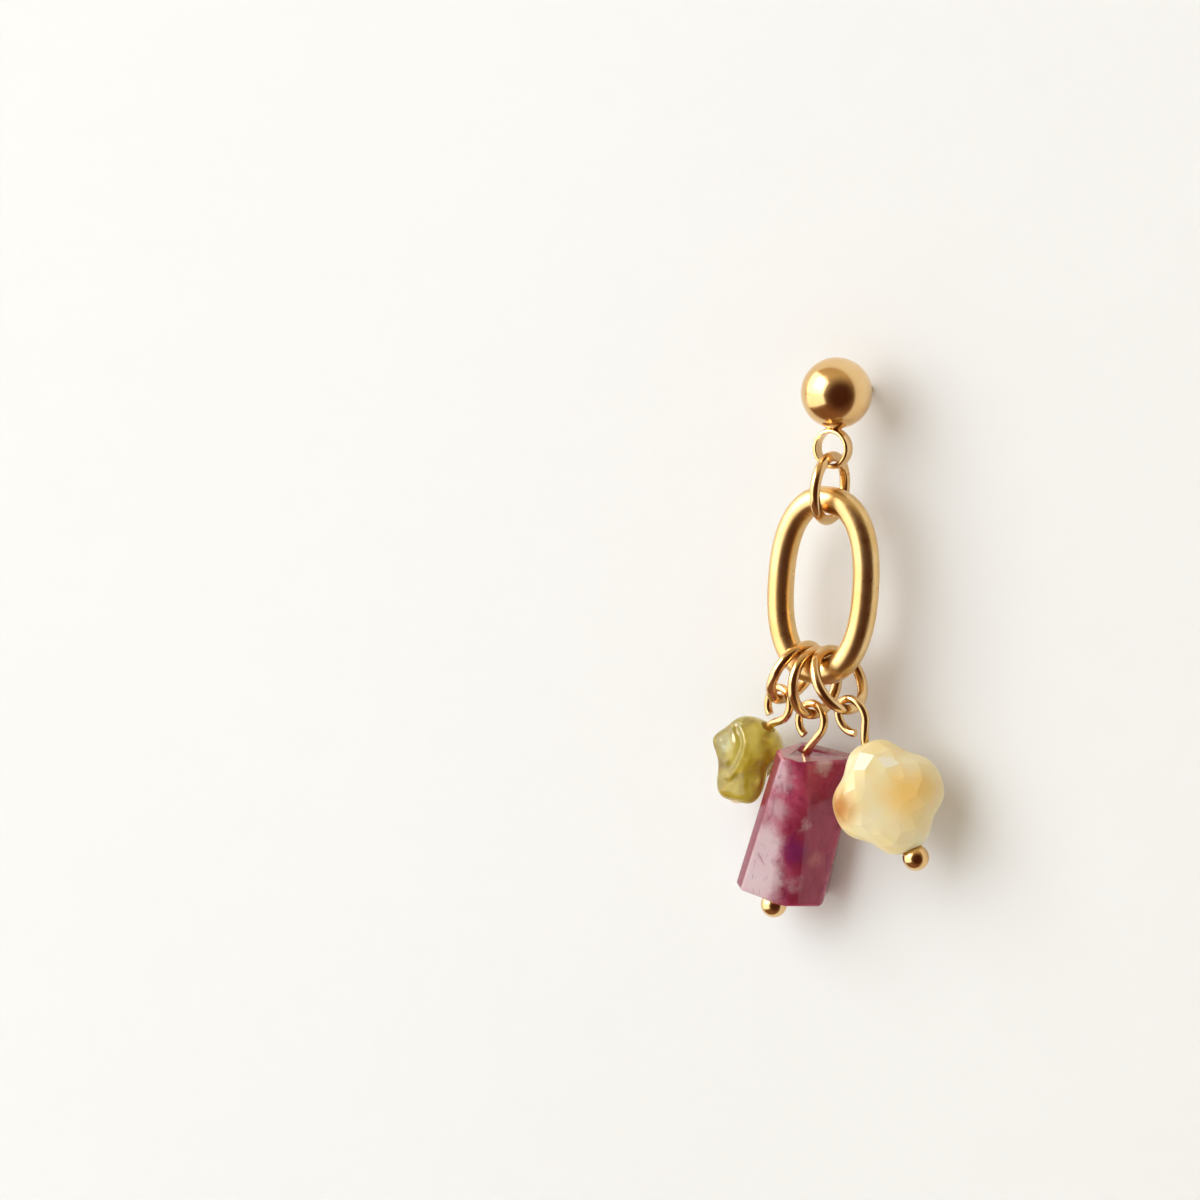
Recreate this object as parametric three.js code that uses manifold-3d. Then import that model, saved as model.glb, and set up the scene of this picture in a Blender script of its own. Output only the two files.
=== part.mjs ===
// A gold drop earring: a ball stud, an oval link on a jump ring, and three stone drops under it.
// Millimetres, +Z up, +Y along the post to the back. The origin is where the post leaves the ball.
import * as THREE from "three";
import { mergeVertices } from "three/addons/utils/BufferGeometryUtils.js";
import Module from "manifold-3d";

const wasm = await Module();
wasm.setup();

// Sizes of the stud
const ball_diameter = 5;
const post_diameter = 0.8;
const post_length = 10.5;
const collar_diameter = 1.3;
const collar_length = 0.55;
const stud_loop_hole = 2.2;
const stud_loop_band = 0.37; // how thick the loop's band is, from the hole outwards
const stud_loop_width = 1; // how wide the band is, from front to back
const stud_loop_sink = 0.08; // how far the loop's top sits in the ball
const band_side = 0.45; // how far out the band's flat sides reach, a share of its thickness
const band_shoulder = [0.9, 0.6]; // where its rounded back turns, shares of its thickness and half width
const neck_diameter = 0.95; // the solder that joins the loop to the ball, at its foot
const neck_flare = 1.2; // its width at the ball, a share of its width at the foot

// Sizes of the rings and the link
const ring_hole = 3.75;
const ring_wire = 0.75;
const ring_joint = 0.08; // the hairline cut where a ring closes
const link_hole_width = 4.8;
const link_hole_height = 10.3;
const link_wire = 1.9;
const link_squareness = 2.33; // 2 is an ellipse, more is squarer

// Sizes of the head pins
const pin_wire = 0.58;
const pin_loop_hole_width = 1.56;
const pin_loop_hole_height = 1.94;
const pin_neck_green = 0.32; // each neck runs from the foot of the loop to the top of the bead
const pin_neck_purple = 0.82;
const pin_neck_yellow = 0.54;
const pin_head = 1.87;
const pin_cut_angle = -18; // where the loop's cut end stops, in degrees past straight down

// Sizes of the beads
const bead_bore = 1.1;
const nugget_length = 5.4;
const nugget_width = 5.1;
const column_length = 11;
const column_width = 6.6;
const column_bevel = 0.25;
const clover_length = 8.27;
const clover_width = 7.9;
const clover_thickness = 4.6;
const clover_notch = 0.14; // how deep the notches between the lobes are, a share of the radius
const clover_seat_depth = 0.32; // how deep the pin's head is sunk in its foot

const hang_gap = 0.1; // between two pieces of wire that hang in each other
const seat_gap = 0.08; // between a bead and the pin head under it

// How the three drops hang, in degrees: where the ring sits round the foot of the link, how the ring
// faces, how the pin leans to the side and to the back, and how its loop and its bead are turned
const drops = [
  {
    stone: "green", foot: 246.7, ring_yaw: -9, ring_tilt: -24.7,
    pin_side: -28.1, pin_back: 13.7, loop_turn: -19.5, bead_turn: 0,
  },
  {
    stone: "purple", foot: 268.9, ring_yaw: -15.9, ring_tilt: 0.3,
    pin_side: -11, pin_back: 5.5, loop_turn: -7, bead_turn: 0,
  },
  {
    stone: "yellow", foot: 291.5, ring_yaw: -14.8, ring_tilt: 30.2,
    pin_side: 29.6, pin_back: 5.1, loop_turn: -4.2, bead_turn: 26,
  },
];
const ring_cut_top = 25; // where the hairline cut is in the top ring, in degrees round the ring
const ring_cut_drop = 150; // and in the three rings below

const ball_radius = ball_diameter / 2;
const ring_radius = (ring_hole + ring_wire) / 2;
const link_half_width = (link_hole_width + link_wire) / 2;
const link_half_height = (link_hole_height + link_wire) / 2;
const pin_loop_half_width = (pin_loop_hole_width + pin_wire) / 2;
const pin_loop_half_height = (pin_loop_hole_height + pin_wire) / 2;
const head_radius = pin_head / 2;
// How far the centre of a pin's head is under its bead
const head_nest = Math.sqrt(head_radius ** 2 - (bead_bore / 2) ** 2) + seat_gap;
const rad = THREE.MathUtils.degToRad;

// Heights down the middle of the earring, from the ball to the link
const stud_loop_z = -ball_radius - stud_loop_hole / 2 - stud_loop_band + stud_loop_sink;
const ring_dip = ring_radius - Math.sqrt(ring_radius ** 2 - (stud_loop_width / 2) ** 2); // over the band
const ring_top_z = stud_loop_z - stud_loop_hole / 2 + ring_wire / 2 + hang_gap + ring_dip;
const top_ring_z = ring_top_z - ring_radius;
const link_top_z = top_ring_z - ring_radius + ring_wire / 2 + hang_gap + link_wire / 2;
const link_z = link_top_z - link_half_height;

const gold = { color: 0xcf9f54, roughness: 0.16, metalness: 1 };
const satin_gold = { color: 0xcc9c4c, roughness: 0.34, metalness: 1 };
const green_stone = { color: 0xb0a545, roughness: 0.12, metalness: 0 };
const purple_stone = { color: 0x93355c, roughness: 0.15, metalness: 0 };
const yellow_stone = { color: 0xe4c98f, roughness: 0.3, metalness: 0 };

function solidOf(geometry, matrix = new THREE.Matrix4()) {
  const bare = geometry.clone().applyMatrix4(matrix);
  bare.deleteAttribute("normal");
  bare.deleteAttribute("uv");
  const merged = mergeVertices(bare, 1e-4);
  return new wasm.Manifold(
    new wasm.Mesh({
      numProp: 3,
      vertProperties: new Float32Array(merged.attributes.position.array),
      triVerts: new Uint32Array(merged.index.array),
    }),
  );
}

function geometryOf(solid) {
  const mesh = solid.getMesh();
  const geometry = new THREE.BufferGeometry();
  geometry.setAttribute("position", new THREE.BufferAttribute(mesh.vertProperties, 3));
  geometry.setIndex(new THREE.BufferAttribute(mesh.triVerts, 1));
  geometry.computeVertexNormals();
  return geometry;
}

function named(name, geometry, look) {
  const mesh = new THREE.Mesh(geometry, new THREE.MeshStandardMaterial(look));
  mesh.name = name;
  return mesh;
}

const moved = (x, y, z) => new THREE.Matrix4().makeTranslation(x, y, z);

// A round wire swept along a curve, with flat ends
function wireAlong(curve, diameter, sides, steps) {
  const section = new THREE.Shape();
  for (let i = 0; i < sides; i++) {
    const angle = (2 * Math.PI * (i + 0.5)) / sides;
    const point = [(diameter / 2) * Math.cos(angle), (diameter / 2) * Math.sin(angle)];
    if (i === 0) section.moveTo(...point);
    else section.lineTo(...point);
  }
  section.closePath();
  return new THREE.ExtrudeGeometry(section, { steps, curveSegments: 1, extrudePath: curve });
}

// The circle of a jump ring in its own XY plane, open by the hairline cut, which starts at an angle
class RingCurve extends THREE.Curve {
  constructor(start) {
    super();
    this.start = start;
  }
  getPoint(t, target = new THREE.Vector3()) {
    const cut = ring_joint / ring_radius;
    const angle = this.start + cut / 2 + t * (2 * Math.PI - cut);
    return target.set(ring_radius * Math.cos(angle), ring_radius * Math.sin(angle), 0);
  }
}

const ringGeometry = (start) => wireAlong(new RingCurve(start), ring_wire, 10, 36);

// A point on the link's centre line and the outward direction there, in the link's own XZ plane
function linkPoint(angle) {
  const round = (value) => Math.sign(value) * Math.abs(value) ** (2 / link_squareness);
  return new THREE.Vector3(
    link_half_width * round(Math.cos(angle)), 0, link_half_height * round(Math.sin(angle)),
  );
}

// The closed oval link: a torus whose sections are moved onto the link's centre line
function linkGeometry() {
  const sections = 56;
  const torus = new THREE.TorusGeometry(link_half_height, link_wire / 2, 14, sections);
  const position = torus.attributes.position;
  for (let i = 0; i < position.count; i++) {
    const x = position.getX(i), y = position.getY(i), across = position.getZ(i);
    const angle = Math.atan2(y, x);
    const outward = Math.hypot(x, y) - link_half_height;
    const centre = linkPoint(angle);
    const step = Math.PI / sections;
    const along = linkPoint(angle + step).sub(linkPoint(angle - step)).normalize();
    position.setXYZ(i, centre.x + along.z * outward, -across, centre.z - along.x * outward);
  }
  return torus;
}

// The ball stud: ball, post with its solder collar, and the band loop under the ball, soldered into one
function studGeometry() {
  const lathe = (corners, sides) => (
    new THREE.LatheGeometry(corners.map((corner) => new THREE.Vector2(...corner)), sides)
  );
  let solid = solidOf(new THREE.SphereGeometry(ball_radius, 32, 20), moved(0, -ball_radius, 0));

  const post_radius = post_diameter / 2;
  const tip = post_radius / 2; // the bevel at the post's end
  const root = -ball_radius / 5; // the post starts inside the ball
  const post = lathe([
    [0, root], [collar_diameter / 2, root], [collar_diameter / 2, 0], [post_radius, collar_length],
    [post_radius, post_length - tip], [post_radius - tip, post_length], [0, post_length],
  ], 16);
  solid = solid.add(solidOf(post));

  const hole = stud_loop_hole / 2;
  const outer = hole + stud_loop_band;
  const half = stud_loop_width / 2;
  const side = hole + stud_loop_band * band_side;
  const shoulder = [hole + stud_loop_band * band_shoulder[0], half * band_shoulder[1]];
  const band = lathe([
    [hole, -half], [side, -half], [shoulder[0], -shoulder[1]], [outer, 0],
    shoulder, [side, half], [hole, half], [hole, -half],
  ], 28);
  solid = solid.add(solidOf(band, moved(0, -ball_radius, stud_loop_z)));

  // The neck of solder reaches from inside the ball into the band, clear of its hole
  const neck_top = -ball_radius * 0.85;
  const neck_foot = stud_loop_z + outer - stud_loop_band * 0.7;
  const neck = new THREE.CylinderGeometry(
    (neck_diameter * neck_flare) / 2, neck_diameter / 2, neck_top - neck_foot, 14,
  );
  const upright = new THREE.Matrix4().makeRotationX(Math.PI / 2);
  upright.premultiply(moved(0, -ball_radius, (neck_top + neck_foot) / 2));
  return geometryOf(solid.add(solidOf(neck, upright)));
}

// A head pin's wire: straight up from its head at the depth stem to a kink at the bead's top, then
// over to the loop and round it. The loop's centre is the origin and the pin hangs down -Z.
function pinCurve(stem, kink) {
  const leave = Math.acos(pin_loop_half_height / kink);
  const end = 2 * Math.PI + rad(pin_cut_angle);
  const onLoop = (angle) => (
    new THREE.Vector3(pin_loop_half_width * Math.sin(angle), 0, -pin_loop_half_height * Math.cos(angle))
  );
  const points = [];
  for (const share of [0, 0.35, 0.7, 1]) {
    points.push(new THREE.Vector3(0, 0, -THREE.MathUtils.lerp(stem, kink + pin_wire / 2, share)));
  }
  for (const share of [0.35, 0.75]) points.push(new THREE.Vector3(0, 0, -kink).lerp(onLoop(leave), share));
  const turns = 16;
  for (let i = 0; i <= turns; i++) points.push(onLoop(THREE.MathUtils.lerp(leave, end, i / turns)));
  return new THREE.CatmullRomCurve3(points, false, "centripetal");
}

function pinGeometry(stem, kink) {
  const curve = pinCurve(stem, kink);
  const steps = Math.round(curve.getLength() / (pin_wire * 0.55));
  const wire = solidOf(wireAlong(curve, pin_wire, 8, steps));
  return geometryOf(wire.add(solidOf(new THREE.SphereGeometry(head_radius, 18, 12), moved(0, 0, -stem))));
}

// A bead with its bore, run past both ends, and at the foot the hollow that the pin's head sits in
function drilled(solid, length, seat_depth = 0) {
  const bore = new THREE.CylinderGeometry(bead_bore / 2, bead_bore / 2, length * 2, 14);
  const hollow = new THREE.SphereGeometry(head_radius + seat_gap, 18, 12);
  return solid
    .subtract(solidOf(bore, new THREE.Matrix4().makeRotationX(Math.PI / 2)))
    .subtract(solidOf(hollow, moved(0, 0, seat_depth - length / 2 - head_nest)));
}

// The column's corners to the right and to the back of the bore, as shares of its width
const column_foot = [
  [-0.43, -0.16], [-0.29, -0.29], [0.25, -0.28], [0.52, 0.09], [0.36, 0.55], [-0.33, 0.3],
];
const column_top = [
  [-0.24, -0.21], [-0.07, -0.41], [0.15, -0.4], [0.51, 0.35], [0.37, 0.46], [-0.19, 0.29],
];

function columnGeometry() {
  const half = column_length / 2;
  const inset = 1 - (2 * column_bevel) / column_width;
  const profile = [
    [0, -half], [inset, -half], [1, column_bevel - half],
    [1, half - column_bevel], [inset, half], [0, half],
  ].map(([reach, height]) => new THREE.Vector2(reach, height));
  const column = new THREE.LatheGeometry(profile, column_foot.length);
  const position = column.attributes.position;
  for (let i = 0; i < position.count; i++) {
    const x = position.getX(i), z = position.getZ(i), height = position.getY(i);
    const turn = Math.atan2(x, z) / (2 * Math.PI);
    const corner = (Math.round(turn * column_foot.length) + column_foot.length) % column_foot.length;
    const reach = Math.hypot(x, z);
    const share = 0.5 + height / column_length;
    const [foot_x, foot_y] = column_foot[corner], [top_x, top_y] = column_top[corner];
    const right = THREE.MathUtils.lerp(foot_x, top_x, share) * column_width;
    const back = THREE.MathUtils.lerp(foot_y, top_y, share) * column_width;
    position.setXYZ(i, right * reach, back * reach, height);
  }
  return geometryOf(drilled(solidOf(column), column_length));
}

// The clover: a faceted pillow with four lobes and a flat table on each side
const clover_rings = [[0.44, 1], [0.79, 0.82], [1, 0.42]]; // share of the radius, share of the thickness
const clover_lobe_turn = 2; // the lobes' turn from the bore, in degrees
const cloverReach = (turn) => 1 - clover_notch * Math.sin(2 * turn) ** 4; // at an angle from a lobe's tip
const clover_bore_length = clover_length * cloverReach(rad(clover_lobe_turn));

function cloverGeometry() {
  const around = 24;
  const half = [new THREE.Vector2(0, 1)];
  for (const [reach, height] of clover_rings) half.push(new THREE.Vector2(reach, height));
  const under = half.map(({ x, y }) => new THREE.Vector2(x, -y));
  const pillow = new THREE.LatheGeometry([...under, ...half.reverse()], around);
  const position = pillow.attributes.position;
  const lobe_turn = rad(clover_lobe_turn);
  for (let i = 0; i < position.count; i++) {
    const x = position.getX(i), z = position.getZ(i), height = position.getY(i);
    const angle = Math.atan2(z, x);
    const reach = Math.hypot(x, z) * cloverReach(angle);
    position.setXYZ(
      i,
      (reach * Math.cos(angle - lobe_turn) * clover_width) / 2,
      (height * clover_thickness) / 2,
      (reach * Math.sin(angle - lobe_turn) * clover_length) / 2,
    );
  }
  return geometryOf(drilled(solidOf(pillow), clover_bore_length, clover_seat_depth));
}

// The nugget: a round core with lumps and dents, each with its direction to the right, back and up,
// its height and its breadth as shares of the nugget's half size
const nugget_core = 0.9;
const nugget_lumps = [
  { to: [-0.95, -0.4, -0.18], height: 0.28, breadth: 0.42 },
  { to: [0, -0.5, -0.73], height: 0.52, breadth: 0.42 },
  { to: [0.65, -0.66, -0.55], height: 0.57, breadth: 0.4 },
  { to: [-0.84, -0.4, -0.39], height: -0.22, breadth: 0.22 },
  { to: [-0.58, -0.2, 0.69], height: 0.15, breadth: 0.5 },
  { to: [0.51, -0.2, 0.69], height: 0.09, breadth: 0.45 },
  { to: [-0.2, 0.85, -0.2], height: 0.1, breadth: 0.6 },
  { to: [0.95, -0.1, -0.1], height: -0.22, breadth: 0.5 },
];
const nugget_off_bore = [-0.055, -0.03]; // its middle beside its bore, to the right and back, as shares

function nuggetGeometry() {
  const stone = new THREE.SphereGeometry(1, 24, 16);
  const position = stone.attributes.position;
  const way = new THREE.Vector3(), lump_way = new THREE.Vector3();
  for (let i = 0; i < position.count; i++) {
    way.set(position.getX(i), -position.getZ(i), position.getY(i)).normalize();
    let reach = nugget_core;
    for (const lump of nugget_lumps) {
      lump_way.set(...lump.to).normalize();
      reach += lump.height * Math.exp(-((way.angleTo(lump_way) / lump.breadth) ** 2));
    }
    const right = (way.x * reach) / 2 + nugget_off_bore[0];
    const back = (way.y * reach) / 2 + nugget_off_bore[1];
    position.setXYZ(i, right * nugget_width, back * nugget_width, (way.z * reach * nugget_length) / 2);
  }
  return geometryOf(drilled(solidOf(stone), nugget_length));
}

const beads = {
  green: {
    name: "green_nugget_bead", length: nugget_length, neck: pin_neck_green, seat_depth: 0,
    make: nuggetGeometry, look: green_stone,
  },
  purple: {
    name: "purple_column_bead", length: column_length, neck: pin_neck_purple, seat_depth: 0,
    make: columnGeometry, look: purple_stone,
  },
  yellow: {
    name: "yellow_clover_bead", length: clover_bore_length, neck: pin_neck_yellow,
    seat_depth: clover_seat_depth, make: cloverGeometry, look: yellow_stone,
  },
};

const earring = new THREE.Group();
earring.add(named("ball_stud", studGeometry(), gold));

const top_ring = named("top_jump_ring", ringGeometry(rad(ring_cut_top)), gold);
top_ring.position.set(0, -ball_radius, top_ring_z);
top_ring.rotation.set(Math.PI / 2, 0, Math.PI / 2, "ZXY");
earring.add(top_ring);

const link = named("oval_link", linkGeometry(), satin_gold);
link.position.set(0, -ball_radius, link_z);
earring.add(link);

for (const drop of drops) {
  // The ring hangs from the link's foot in its own plane, straight down as far as its facing lets it
  const yaw = rad(drop.ring_yaw), tilt = rad(drop.ring_tilt);
  const facing = new THREE.Vector3(
    Math.cos(tilt) * Math.cos(yaw), Math.cos(tilt) * Math.sin(yaw), Math.sin(tilt),
  );
  const down = new THREE.Vector3(0, 0, -1).addScaledVector(facing, facing.z).normalize();
  const foot = linkPoint(rad(drop.foot)).add(link.position);
  const hang = ring_radius - (link_wire + ring_wire) / 2 - hang_gap;
  const ring = named(`jump_ring_${drop.stone}`, ringGeometry(rad(ring_cut_drop)), gold);
  const across = new THREE.Vector3().crossVectors(down, facing);
  ring.quaternion.setFromRotationMatrix(new THREE.Matrix4().makeBasis(down, across.negate(), facing));
  ring.position.copy(foot).addScaledVector(down, hang);
  earring.add(ring);

  // The pin's loop hangs in the lowest point of the ring, and the pin carries its bead on a ball head
  const lean = [drop.pin_side, drop.pin_back].map((angle) => Math.tan(rad(angle)));
  const pin_way = new THREE.Vector3(...lean, -1).normalize();
  const loop_drop = pin_loop_half_height - (ring_wire + pin_wire) / 2 - hang_gap;
  const lowest = ring.position.clone().addScaledVector(down, ring_radius);
  const hanger = new THREE.Group();
  const up = pin_way.clone().negate();
  const right = new THREE.Vector3(1, 0, 0).addScaledVector(up, -up.x).normalize();
  const back = new THREE.Vector3().crossVectors(up, right);
  hanger.quaternion.setFromRotationMatrix(new THREE.Matrix4().makeBasis(right, back, up));
  hanger.position.copy(lowest).addScaledVector(pin_way, loop_drop);

  const { name, length, neck, seat_depth, make, look } = beads[drop.stone];
  const bead_top = pin_loop_half_height + pin_wire / 2 + neck;
  const stem = bead_top + length - seat_depth + head_nest;
  const pin = named(`headpin_${drop.stone}`, pinGeometry(stem, bead_top), gold);
  pin.rotation.z = rad(drop.loop_turn);
  const bead = named(name, make(), look);
  bead.position.z = -bead_top - length / 2;
  bead.rotation.z = rad(drop.bead_turn);
  hanger.add(pin, bead);
  earring.add(hanger);
}

export default earring;
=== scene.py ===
# A gold drop earring: a polished ball stud, a satin oval link on a jump ring, and three stone
# drops on rings at the link's foot. Metres, +Z up, +Y along the post to the back.
import math

import bmesh
import bpy
from mathutils import Matrix, Vector


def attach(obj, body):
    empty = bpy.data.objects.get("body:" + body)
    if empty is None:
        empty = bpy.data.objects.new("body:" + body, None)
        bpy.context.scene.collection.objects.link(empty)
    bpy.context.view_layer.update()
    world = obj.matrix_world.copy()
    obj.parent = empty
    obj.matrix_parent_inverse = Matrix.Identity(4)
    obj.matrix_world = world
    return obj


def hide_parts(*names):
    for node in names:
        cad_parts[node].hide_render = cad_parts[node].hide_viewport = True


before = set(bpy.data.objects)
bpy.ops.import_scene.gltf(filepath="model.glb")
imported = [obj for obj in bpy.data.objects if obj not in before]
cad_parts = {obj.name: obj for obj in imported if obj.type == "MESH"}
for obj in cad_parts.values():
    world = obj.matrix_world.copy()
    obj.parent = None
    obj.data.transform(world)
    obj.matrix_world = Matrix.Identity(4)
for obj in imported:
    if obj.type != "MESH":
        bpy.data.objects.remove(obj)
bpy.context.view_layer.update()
scene = bpy.context.scene
mm = 0.001


# Ball stud
# A hollow ball of gold-plated brass, polished bright. A straight post is soldered into its back
# behind a small collar, and a half-round band loop is soldered under it to carry the drop.
ball_radius = 2.5 * mm
post_radius = 0.4 * mm
post_length = 10.5 * mm
collar_radius = 0.65 * mm
collar_length = 0.55 * mm
loop_hole_radius = 1.1 * mm
loop_band = 0.37 * mm
loop_width = 1.0 * mm
loop_sink = 0.08 * mm
post_sink = 0.5 * mm  # how far the post's root is let into the ball
collar_edge = 0.04 * mm  # how thick the collar is at its rim
ball_middle = Vector((0, -ball_radius, 0))
loop_middle = ball_middle - Vector((0, 0, ball_radius + loop_hole_radius + loop_band - loop_sink))


def add_turned(shell, profile, place, steps=96, closed=False):
    """Turns a profile of (radius, height) points round the Z axis of place."""
    rings = []
    for radius, height in profile:
        count = 1 if radius < 1e-9 else steps
        turns = [2 * math.pi * k / steps for k in range(count)]
        rings.append([
            shell.verts.new(place @ Vector((radius * math.cos(t), radius * math.sin(t), height)))
            for t in turns
        ])
    for low, high in zip(rings, rings[1:] + (rings[:1] if closed else [])):
        for k in range(steps):
            corners = [low[k % len(low)], low[(k + 1) % steps % len(low)]]
            corners += [high[(k + 1) % steps % len(high)], high[k % len(high)]]
            corners = list(dict.fromkeys(corners))
            if len(corners) > 2:
                shell.faces.new(corners)


def half_circle(radius, steps):
    """The profile of a ball, from its lower pole to its upper one."""
    angles = [math.pi * (k / steps - 0.5) for k in range(1, steps)]
    arc = [(radius * math.cos(a), radius * math.sin(a)) for a in angles]
    return [(0, -radius), *arc, (0, radius)]


def make_piece(name, shell, sharp=35):
    """A smooth-shaded object from a bmesh, with its faces outward and its sharp edges kept."""
    bmesh.ops.recalc_face_normals(shell, faces=shell.faces)
    mesh = bpy.data.meshes.new(name)
    shell.to_mesh(mesh)
    shell.free()
    mesh.shade_smooth()
    mesh.set_sharp_from_angle(angle=math.radians(sharp))
    piece = bpy.data.objects.new(name, mesh)
    scene.collection.objects.link(piece)
    return piece


stud = bmesh.new()
add_turned(stud, half_circle(ball_radius, 64), Matrix.Translation(ball_middle), 128)

back_way = Matrix.Rotation(-math.pi / 2, 4, "X")  # turns Z to +Y
post_tip = post_radius / 2
post_profile = [(0, -post_sink), (collar_radius, -post_sink), (collar_radius, collar_edge)]
for k in range(1, 9):  # the collar's hollow flank
    share = k / 8
    flank = post_radius + (collar_radius - post_radius) * (1 - share) ** 2
    post_profile.append((flank, collar_edge + (collar_length - collar_edge) * share))
for k in range(7):  # the rounded tip
    turn = math.pi / 2 * k / 6
    post_profile.append((
        post_radius - post_tip * (1 - math.cos(turn)),
        post_length - post_tip * (1 - math.sin(turn)),
    ))
add_turned(stud, [*post_profile, (0, post_length)], back_way, 48)

band_edge = 0.05 * mm
band_side = loop_hole_radius + loop_band * 0.4  # where the band's flat sides end
band_profile = [(loop_hole_radius + band_edge, -loop_width / 2), (band_side, -loop_width / 2)]
for k in range(1, 16):
    turn = math.pi * (k / 16 - 0.5)
    band_profile.append((
        loop_hole_radius + loop_band * (0.45 + 0.55 * math.cos(turn)),
        loop_width / 2 * math.sin(turn),
    ))
band_profile += [
    (band_side, loop_width / 2), (loop_hole_radius + band_edge, loop_width / 2),
    (loop_hole_radius, loop_width / 2 - band_edge), (loop_hole_radius, band_edge - loop_width / 2),
]
add_turned(stud, band_profile, Matrix.Translation(loop_middle) @ back_way, 96, closed=True)

# The fillet of solder between the ball and the loop: radii, and heights from the ball's middle
solder = [
    (0, -2.2), (0.8, -2.36), (0.66, -2.41), (0.55, -2.48), (0.49, -2.56), (0.47, -2.64), (0, -2.66),
]
add_turned(stud, [(r * mm, z * mm) for r, z in reversed(solder)], Matrix.Translation(ball_middle), 48)
ball_stud = make_piece("polished_ball_stud", stud, 40)


def add_node(tree, kind, values=None, **settings):
    """Adds a node. Values go to its inputs by name or number, as a value or a link from a socket."""
    made = tree.nodes.new(kind)
    for key, value in settings.items():
        setattr(made, key, value)
    for key, value in (values or {}).items():
        if isinstance(value, bpy.types.NodeSocket):
            tree.links.new(value, made.inputs[key])
        else:
            made.inputs[key].default_value = value
    return made


def new_group(name, kind, inputs, outputs):
    """A node group with named sockets, and its input and output nodes."""
    group = bpy.data.node_groups.new(name, kind)
    for label, socket_type, value in inputs:
        socket = group.interface.new_socket(name=label, in_out="INPUT", socket_type=socket_type)
        if value is not None:
            socket.default_value = value
    for label, socket_type in outputs:
        group.interface.new_socket(name=label, in_out="OUTPUT", socket_type=socket_type)
    return group, group.nodes.new("NodeGroupInput").outputs, group.nodes.new("NodeGroupOutput")


def mixed(tree, factor, first, second):
    """A colour between two colours or sockets."""
    mix = add_node(tree, "ShaderNodeMix", {0: factor, 6: first, 7: second}, data_type="RGBA")
    return mix.outputs[2]


def ranged(tree, value, low, high, to_low=0.0, to_high=1.0):
    """A value taken from one range to another, held at both ends."""
    made = add_node(tree, "ShaderNodeMapRange", {0: value, 1: low, 2: high, 3: to_low, 4: to_high})
    return made.outputs[0]


def noise(tree, spot, scale, detail, roughness=0.5, distortion=0.0):
    """The value of a cloudy pattern through a piece."""
    return add_node(tree, "ShaderNodeTexNoise", {
        "Vector": spot, "Scale": scale, "Detail": detail, "Roughness": roughness,
        "Distortion": distortion,
    }).outputs["Fac"]


# What gold plate shows close up: two tones, cloudy wiping marks, a fine grain and hairline scratches
plate, plate_in, plate_out = new_group("plated surface", "ShaderNodeTree", [
    ("Warm Tone", "NodeSocketColor", (0.8, 0.5, 0.2, 1)),
    ("Pale Tone", "NodeSocketColor", (0.9, 0.7, 0.35, 1)),
    ("Least Roughness", "NodeSocketFloat", 0.08),
    ("Most Roughness", "NodeSocketFloat", 0.16),
    ("Grain Size", "NodeSocketFloat", 8000.0),
    ("Grain Depth", "NodeSocketFloat", 0.000002),
    ("Scratch Depth", "NodeSocketFloat", 0.000001),
], [("Color", "NodeSocketColor"), ("Roughness", "NodeSocketFloat"), ("Normal", "NodeSocketVector")])
spot = add_node(plate, "ShaderNodeTexCoord").outputs["Object"]
tone = noise(plate, spot, 420.0, 3.0)
wipes = noise(plate, spot, 1300.0, 5.0, 0.6)
grain = noise(plate, spot, plate_in["Grain Size"], 2.0, 0.7)
stretched = add_node(plate, "ShaderNodeMapping", {
    "Vector": spot, "Rotation": (0.5, 0.9, 0.3), "Scale": (1.0, 14.0, 14.0),
})
scratches = ranged(plate, noise(plate, stretched.outputs[0], 700.0, 3.0), 0.62, 0.7)
plate_color = mixed(
    plate, ranged(plate, tone, 0.35, 0.65), plate_in["Warm Tone"], plate_in["Pale Tone"],
)
plate_rough = ranged(
    plate, wipes, 0.35, 0.7, plate_in["Least Roughness"], plate_in["Most Roughness"],
)
grain_bump = add_node(plate, "ShaderNodeBump", {
    "Strength": 1.0, "Distance": plate_in["Grain Depth"], "Height": grain,
})
scratch_bump = add_node(plate, "ShaderNodeBump", {
    "Strength": 1.0, "Distance": plate_in["Scratch Depth"], "Height": scratches,
    "Normal": grain_bump.outputs[0],
}, invert=True)
plate.links.new(plate_color, plate_out.inputs["Color"])
plate.links.new(plate_rough, plate_out.inputs["Roughness"])
plate.links.new(scratch_bump.outputs[0], plate_out.inputs["Normal"])


def new_material(name):
    """An empty material's tree and its Principled shader."""
    material = bpy.data.materials.new(name)
    material.use_nodes = True
    return material, material.node_tree, material.node_tree.nodes["Principled BSDF"]


def plated(name, values):
    """A gold-plated metal with its own values of the plated surface."""
    material, tree, shader = new_material(name)
    surface = tree.nodes.new("ShaderNodeGroup")
    surface.node_tree = plate
    for label, value in values.items():
        surface.inputs[label].default_value = value
    shader.inputs["Metallic"].default_value = 1.0
    tree.links.new(surface.outputs["Color"], shader.inputs["Base Color"])
    tree.links.new(surface.outputs["Roughness"], shader.inputs["Roughness"])
    tree.links.new(surface.outputs["Normal"], shader.inputs["Normal"])
    return material


polished_gold = plated("polished gold", {
    "Warm Tone": (0.77, 0.49, 0.21, 1), "Pale Tone": (0.83, 0.58, 0.29, 1),
    "Least Roughness": 0.16, "Most Roughness": 0.22,
    "Grain Size": 9000.0, "Grain Depth": 0.0000003, "Scratch Depth": 0.0000003,
})
ball_stud.data.materials.append(polished_gold)
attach(ball_stud, "stud")
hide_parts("ball_stud")


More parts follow.
